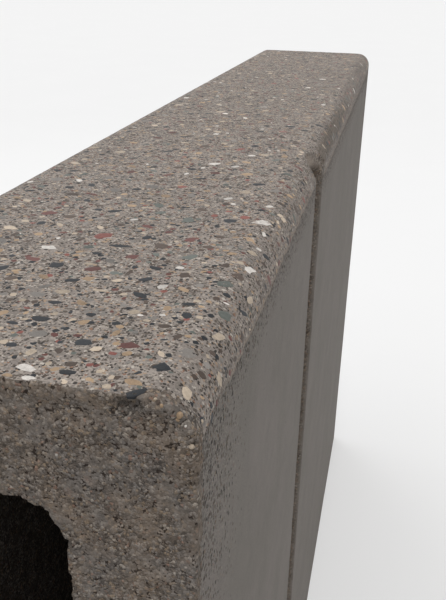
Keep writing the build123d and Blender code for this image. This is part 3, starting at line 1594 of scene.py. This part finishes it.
LANDMARKS = (
    PlacedStone(Stone.RED, 4, -332, 8.5, 6.5, 20),
    PlacedStone(Stone.WHITE, -11, -351, 6.5, 4.2, -10),
    PlacedStone(Stone.SLATE, 15, -342, 9.0, 3.0, 5),
    PlacedStone(Stone.MAROON, 14, -368, 6.0, 5.0, 30),
    PlacedStone(Stone.SLATE, 11, -380, 5.5, 3.6, 15),
    PlacedStone(Stone.OCHRE, 16, -377, 5.0, 3.8, 60),
    PlacedStone(Stone.CREAM, 24, -386, 5.6, 2.2, 0),
    PlacedStone(Stone.SLATE, 14, -412, 5.6, 4.2, 10),
    PlacedStone(Stone.GREY, 18, -422, 5.6, 4.6, 25),
    PlacedStone(Stone.SLATE, 28, -405, 3.6, 2.6, 0),
    PlacedStone(Stone.OCHRE, 28, -411, 4.2, 3.4, 70),
    PlacedStone(Stone.SLATE, 38, -409, 3.2, 2.4, 0),
    PlacedStone(Stone.BROWN, 53, -407, 4.0, 3.0, 20),
    PlacedStone(Stone.BROWN, 59, -413, 3.6, 2.6, 60),
    PlacedStone(Stone.SLATE, 56, -389, 4.8, 2.8, 10),
    PlacedStone(Stone.CREAM, 58, -386, 2.9, 2.4, 0),
    PlacedStone(Stone.OCHRE, 50, -394, 3.8, 3.0, 80),
    PlacedStone(Stone.MAROON, 47, -422, 7.2, 3.6, 4),
    PlacedStone(Stone.OCHRE, 48, -427, 3.4, 2.8, 50),
    PlacedStone(Stone.RED, 44, -428, 2.8, 2.0, 0),
    PlacedStone(Stone.SLATE, 60, -432, 5.4, 4.4, -35),
    PlacedStone(Stone.WHITE, 24, -442, 6.0, 3.6, -8),
    PlacedStone(Stone.WHITE, 27, -447, 4.0, 2.4, 0),
    PlacedStone(Stone.OCHRE, 21, -447, 2.8, 2.0, 0),
    PlacedStone(Stone.BROWN, 35, -437, 3.6, 2.8, 15),
    PlacedStone(Stone.SLATE, 36, -441.5, 5.4, 2.8, 8),
    PlacedStone(Stone.OCHRE, 55, -442, 5.6, 3.0, -25),
    PlacedStone(Stone.SLATE, 57.6, -446.9, 7.8, 2.7, 48),
    PlacedStone(Stone.CREAM, 49, -446, 3.0, 2.4, 0),
    PlacedStone(Stone.CREAM, 70.5, -403, 6.0, 3.2, 60),
    PlacedStone(Stone.CREAM, 74.7, -366, 6.5, 2.8, 75),
    PlacedStone(Stone.WHITE, 69, -347, 6.5, 4.0, 65),
    PlacedStone(Stone.WHITE, 64, -295, 9.5, 5.0, 40),
    PlacedStone(Stone.WHITE, 63, -271, 5.0, 2.5, 55),
    PlacedStone(Stone.MOSS, 63.5, -368, 7.5, 5.0, 40),
    PlacedStone(Stone.MOSS, 69, -389, 7.0, 4.5, 60),
    PlacedStone(Stone.GREY, 85.5, -126.5, 5.0, 3.0, 85),
)


@dataclass(frozen=True)
class Pebble:
    """A listed grain: its kind, a spot in the air just off where it sits, and radius, in millimetres."""

    kind: Stone
    x: float
    y: float
    z: float
    radius: float


CORNER_PEBBLES = (
    Pebble(Stone.OCHRE, 71.1, -450.5, 597.6, 1.5),
    Pebble(Stone.OCHRE, 68.9, -450, 594.2, 0.7),
    Pebble(Stone.OCHRE, 65.9, -450, 599.0, 0.7),
    Pebble(Stone.CREAM, 63.6, -449, 601.5, 0.8),
    Pebble(Stone.BROWN, 64.6, -450, 600.0, 1.1),
    Pebble(Stone.WHITE, 71.8, -450, 592.8, 0.6),
    Pebble(Stone.CREAM, 76.5, -441.2, 590.7, 0.9),
    Pebble(Stone.CREAM, 75.0, -450.8, 588.1, 0.9),
)


@dataclass(frozen=True)
class Grains:
    """Whole grains of sand and small gravel that stand half bare in a torn end."""

    shape: KerbShape
    name: str
    outward: int
    count: int
    placed: tuple = ()
    smallest: float = 0.35 * MM
    largest: float = 1.1 * MM
    least_sunk: float = 0.2
    most_sunk: float = 0.6
    placed_sunk: float = 0.15
    placed_bare: float = 0.95
    corners: int = 8
    rings: int = 3
    seed: int = 301

    def strewn(self, seats: np.ndarray, rng: np.random.Generator) -> tuple[np.ndarray, ...]:
        """Strews grains over the torn face, evenly by its area. Radii follow a falling power law.

        Args:
            seats: The points of the torn face.
            rng: The random source.

        Returns:
            For each grain its seat, the way into the concrete, its radius, how bare it is and its kind.
        """
        cell = np.floor(seats[:, [0, 2]] / (4 * MM)).astype(int)
        _, home = np.unique(cell, axis=0, return_inverse=True)
        weight = 1 / np.bincount(home.ravel())[home.ravel()]
        chosen = rng.choice(len(seats), size=self.count, replace=False, p=weight / np.sum(weight))
        radii = self.smallest * (self.largest / self.smallest) ** (rng.random(self.count) ** 1.8)
        bare = 0.7 * rng.random(self.count) ** 2
        shares = np.array([kind.share for kind in Stone])
        kinds = rng.choice([kind.place for kind in Stone], self.count, p=shares / shares.sum())
        inward = np.tile([0.0, -self.outward, 0.0], (self.count, 1))
        return seats[chosen], inward, radii, bare, kinds

    def by_hand(self, surface: np.ndarray) -> tuple[np.ndarray, ...]:
        """Sets each placed grain on the point of the end nearest to its spot.

        Args:
            surface: The end's points.

        Returns:
            The same five as for the strewn grains.
        """
        spots = np.array([(pebble.x, pebble.y, pebble.z) for pebble in self.placed]).reshape(-1, 3) * MM
        away = np.linalg.norm(surface[None] - spots[:, None], axis=2)
        seats = surface[np.argmin(away, axis=1)]
        inward = (seats - spots) / np.linalg.norm(seats - spots, axis=1, keepdims=True)
        radii = np.array([pebble.radius * MM for pebble in self.placed])
        kinds = np.array([pebble.kind.place for pebble in self.placed])
        return seats, inward, radii, np.full(len(radii), self.placed_bare), kinds

    def build(self, surface: np.ndarray, torn: np.ndarray, material: bpy.types.Material) -> None:
        """Builds all of an end's grains as one piece of closed balls.

        Each grain is sunk by a share of its radius, which is random for the strewn ones.

        Args:
            surface: The end's points.
            torn: Which of them are on the torn face.
            material: The stones' material.
        """
        rng = np.random.default_rng(self.seed)
        both = zip(self.strewn(surface[torn], rng), self.by_hand(surface))
        seats, inward, radii, bare, kinds = (np.concatenate(pair) for pair in both)
        sunk = rng.uniform(self.least_sunk, self.most_sunk, len(radii))
        sunk[self.count :] = self.placed_sunk
        low, high = self.shape.limits(1.15 * radii[:, None])
        points = self.balls(np.clip(seats + inward * (radii * sunk)[:, None], low, high), radii)
        marks = {"kind": kinds, "bare": bare, "tone": rng.uniform(0.1, 0.9, len(radii))}
        marks = {name: np.repeat(values, points.shape[1]) for name, values in marks.items()}
        faces = capped_rings(self.rings, self.corners, len(radii))
        make_piece(self.name, points.reshape(-1, 3), faces, material, marks)

    def balls(self, middles: np.ndarray, radii: np.ndarray) -> np.ndarray:
        """Works out the points of closed balls, their radii shaken by noise and their sides squeezed.

        A point's direction is (cos a sin b, sin a sin b, cos b), with a all the way round and b
        from the foot's pole to the top's.

        Args:
            middles: The balls' middles.
            radii: Their radii.

        Returns:
            The points of each ball, in the order that capped_rings takes.
        """
        a = 2 * math.pi * np.arange(self.corners) / self.corners
        b = (math.pi * np.arange(self.rings, 0, -1) / (self.rings + 1))[:, None]
        ways = np.broadcast_arrays(np.cos(a) * np.sin(b), np.sin(a) * np.sin(b), np.cos(b))
        ball = np.concatenate([np.stack(ways, axis=-1).reshape(-1, 3), [[0, 0, 1], [0, 0, -1]]])
        shaken = soft_noise(middles[:, None] + ball[None] * 2 * MM, 1.5 * MM, self.seed)
        reach = radii[:, None] * (0.95 + 0.2 * shaken)
        squeeze = soft_noise(middles[:, None] + np.eye(3) * 9 * MM, 1 * MM, self.seed + 1)
        return middles[:, None] + ball[None] * reach[..., None] * (0.75 + 0.25 * squeeze)[:, None, :]


@dataclass(frozen=True)
class Stonework:
    """The coarse stones cut flush with the ground top and its rounds, as thin solid plates.

    Stone sizes, the margin at the ends and the stretch kept clear at the groove are in millimetres.
    """

    shape: KerbShape
    skin: Skin
    count: int = 2700
    tries: int = 6
    least_gap: float = 0.1
    smallest: float = 2.2
    largest: float = 7.5
    end_margin: float = 2.4
    groove_reach: tuple = (-26, 34)
    landmark_tone: float = 0.35
    corners: int = 9
    sink: float = 0.9 * MM
    proud: float = 0.06 * MM
    seed: int = 5

    def scatter(self) -> list[PlacedStone]:
        """Strews stones over the top, the largest first, each clear of those already down.

        Sizes follow a falling power law between the smallest and the largest. All is in millimetres.

        Returns:
            The landmarks, and then the strewn stones.
        """
        rng = np.random.default_rng(self.seed)
        shape, kinds = self.shape, list(Stone)
        shares = np.array([stone.share for stone in kinds])
        placed = list(LANDMARKS)
        taken = np.array([[stone.across, stone.along, stone.length / 2] for stone in placed])
        reach = (shape.half_top + shape.arris_length) / MM - 1
        end, flat = shape.half_length / MM - self.end_margin, shape.half_top / MM
        clear_from, clear_to = self.groove_reach
        size = self.smallest * (self.largest / self.smallest) ** (rng.random(self.count) ** 1.9)
        for length in np.sort(size)[::-1]:
            spots = rng.uniform((-reach, -end), (reach, end), (self.tries, 2))
            away = np.linalg.norm(spots[:, None] - taken[None, :, :2], axis=2)
            gaps = (away - taken[None, :, 2] - length / 2).min(axis=1)
            best = int(np.argmax(gaps))
            across, along = spots[best]
            past_groove = along - shape.groove_middle / MM
            in_groove = across > flat + 3 and clear_from - length / 2 < past_groove < clear_to + length / 2
            on_corner = abs(across) > flat - 5 and abs(along) + length / 2 > end - 3
            if gaps[best] < self.least_gap or in_groove or on_corner:
                continue
            kind = kinds[int(rng.choice(len(kinds), p=shares / shares.sum()))]
            breadth = length * rng.uniform(0.45, 0.9)
            placed.append(PlacedStone(kind, across, along, length, breadth, rng.uniform(0, 180)))
            taken = np.vstack([taken, [across, along, length / 2]])
        return placed

    def outlines(self, stones: list[PlacedStone], rng: np.random.Generator) -> tuple[np.ndarray, np.ndarray]:
        """The outline of each stone about its middle, in millimetres across and along.

        It is an ellipse whose radius is multiplied by 1 plus a little jitter and three random waves,
        turned by the stone's own angle.

        Args:
            stones: The stones.
            rng: The random source.

        Returns:
            How far across and how far along each corner lies.
        """
        number, n = len(stones), self.corners
        sizes = np.array([(stone.length / 2, stone.breadth / 2, stone.turn) for stone in stones])
        long, wide, turn = sizes[:, :1], sizes[:, 1:2], np.radians(sizes[:, 2:])
        angle = 2 * math.pi * (np.arange(n)[None] + rng.uniform(-0.32, 0.32, (number, n))) / n
        reach = 1 + rng.uniform(-0.07, 0.07, (number, n))
        for k in (2, 3, 4):
            phase = rng.uniform(0, 2 * math.pi, (number, 1))
            reach = reach + rng.uniform(0.03, 0.15, (number, 1)) * np.cos(k * angle + phase)
        u, v = long * reach * np.cos(angle), wide * reach * np.sin(angle)
        return u * np.cos(turn) - v * np.sin(turn), u * np.sin(turn) + v * np.cos(turn)

    def build_half(
        self, name: str, stones: list[PlacedStone], rng: np.random.Generator, material: bpy.types.Material
    ) -> None:
        """Builds many plates as one piece.

        A plate has four rings: its buried foot, its cut edge, and two on the cut face.

        Args:
            name: The piece's name.
            stones: The stones.
            rng: The random source.
            material: The stones' material.
        """
        number, base = len(stones), -self.skin.ground_depth
        across, along = (np.array([[getattr(stone, way)] for stone in stones]) for way in ("across", "along"))
        du, dv = self.outlines(stones, rng)
        top = self.proud * rng.uniform(0.3, 1.0, (number, 1))
        rings = [
            self.shape.on_top((across + share * du) * MM, (along + share * dv) * MM, base + lift + 0 * du)
            for share, lift in ((0.86, -self.sink), (1.0, 0.1 * top), (0.93, top), (0.45, top))
        ]
        middles = [ring.mean(axis=1, keepdims=True) for ring in (rings[-1], rings[0])]
        points = np.concatenate([*rings, *middles], axis=1)
        known = [stone in LANDMARKS for stone in stones]
        tone = np.where(known, self.landmark_tone, rng.uniform(0, 1, number))
        marks = {"tone": tone, "kind": [stone.kind.place for stone in stones], "bare": np.ones(number)}
        marks = {mark: np.repeat(values, points.shape[1]) for mark, values in marks.items()}
        faces = capped_rings(len(rings), self.corners, number)
        make_piece(name, points.reshape(-1, 3), faces, material, marks)

    def build(self, material: bpy.types.Material) -> None:
        """Builds the stones of each half of the top as one piece.

        Args:
            material: The stones' material.
        """
        rng = np.random.default_rng(self.seed + 1)
        placed = self.scatter()
        for name, near in (("near_stones", True), ("far_stones", False)):
            self.build_half(name, [stone for stone in placed if (stone.along < 0) == near], rng, material)


@dataclass(frozen=True)
class Viewpoint:
    """The camera, as the kerb's own edges place it: low over the near end, looking along the top."""

    position: tuple = (0.1155, -0.6081, 0.7019)
    tilt: tuple = (66.12, -1.11, 12.86)
    focal_pixels: float = 754
    picture_height: int = 600
    sensor: float = 36.0

    def build(self) -> None:
        """Adds the camera and makes it the scene's own."""
        data = bpy.data.cameras.new("camera")
        data.sensor_width = self.sensor
        data.lens = self.sensor * self.focal_pixels / self.picture_height
        data.clip_start = 10 * MM
        camera = bpy.data.objects.new("camera", data)
        camera.location = self.position
        camera.rotation_euler = [math.radians(angle) for angle in self.tilt]
        bpy.context.scene.collection.objects.link(camera)
        bpy.context.scene.camera = camera


@dataclass(frozen=True)
class Studio:
    """A pale floor that throws a part of its light back up, a plain white sky and two soft lamps."""

    floor_half: float = 40.0
    floor_colour: tuple = paint(236, 236, 236)
    thrown_back: tuple = paint(185, 185, 185)
    sky_strength: float = 0.7
    sky_shown: float = 0.9
    key_place: tuple = (0.3, -1.3, 2.8)
    key_angle: float = 18.0
    key_strength: float = 1.3
    window_place: tuple = (-1.2, 1.8, 2.0)
    window_size: float = 0.9
    window_power: float = 3.0
    aim: tuple = (0.0, -0.45, 0.6)

    def build(self) -> None:
        """Adds the floor, the sky, a key lamp high in front and a weak one behind on the left."""
        half = self.floor_half
        corners = [(-half, -half, 0), (half, -half, 0), (half, half, 0), (-half, half, 0)]
        mesh = bpy.data.meshes.new("floor")
        mesh.from_pydata(corners, [], [(0, 1, 2, 3)])
        floor = bpy.data.objects.new("floor", mesh)
        bpy.context.scene.collection.objects.link(floor)
        nodes = Nodes(bpy.data.materials.new("pale_floor"))
        colour = nodes.mix(nodes.shown(), self.thrown_back, self.floor_colour)
        colour = nodes.shade_by(colour, nodes.noise(nodes.place(), 0.4, 2.0) * 0.02 + 0.99)
        mesh.materials.append(nodes.finish(Surface(nodes, colour, 0.9, 0.0)))
        sky = Nodes(bpy.data.worlds.new("sky"))
        strength = sky.shown() * (self.sky_shown - self.sky_strength) + self.sky_strength
        light = sky.add("ShaderNodeBackground", {}, {"Color": (1.0, 1.0, 1.0, 1.0), "Strength": strength})
        sky.add("ShaderNodeOutputWorld", {}, {"Surface": light["Background"]})
        bpy.context.scene.world = sky.owner
        key = {"angle": math.radians(self.key_angle), "energy": self.key_strength}
        self.lamp("key", "SUN", self.key_place, key)
        window = {"size": self.window_size, "energy": self.window_power}
        self.lamp("window", "AREA", self.window_place, window)

    def lamp(self, name: str, kind: str, position: tuple, settings: dict[str, float]) -> None:
        """Adds a soft lamp that points at the kerb's near upper end.

        Args:
            name: The lamp's name.
            kind: The lamp's type.
            position: Where it hangs.
            settings: Its other settings, by name.
        """
        data = bpy.data.lights.new(name, kind)
        for setting, value in settings.items():
            setattr(data, setting, value)
        lamp = bpy.data.objects.new(name, data)
        lamp.location = position
        x, y, z = np.array(self.aim) - np.array(position)
        lamp.rotation_euler = (math.atan2(math.hypot(x, y), -z), 0, math.atan2(-x, y))
        bpy.context.scene.collection.objects.link(lamp)


def main() -> None:
    """Loads the frame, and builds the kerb's pieces in order."""
    logging.basicConfig(level=logging.INFO, format="%(message)s")
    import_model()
    Viewpoint().build()
    Studio().build()
    bpy.context.scene.view_settings.view_transform = "Standard"
    shape = KerbShape.from_frame()
    skin, groove = Skin(shape), Groove(shape)
    material = KerbConcrete(shape).material()
    GroundTop(shape, skin, groove).build(material)
    CastWalls(shape, skin, groove).build(material)
    chip_middle, chip_radius = np.array([55.8, -451.3, 596.5]) * MM, 4.4 * MM
    near_end = EndSlab(shape, skin, "near_end", outward=-1, fine=0.66 * MM, coarse=2.0 * MM)
    far_end = EndSlab(shape, skin, "far_end", outward=1, fine=1.5 * MM, coarse=2.6 * MM, seed=211)
    near_face = near_end.build(material, ((chip_middle, chip_radius),))
    far_face = far_end.build(material)
    stone = StoneFinish().material()
    Stonework(shape, skin).build(stone)
    Grains(shape, "near_grains", outward=-1, count=1400, placed=CORNER_PEBBLES).build(*near_face, stone)
    Grains(shape, "far_grains", outward=1, count=700, seed=302).build(*far_face, stone)


if __name__ == "__main__":
    main()
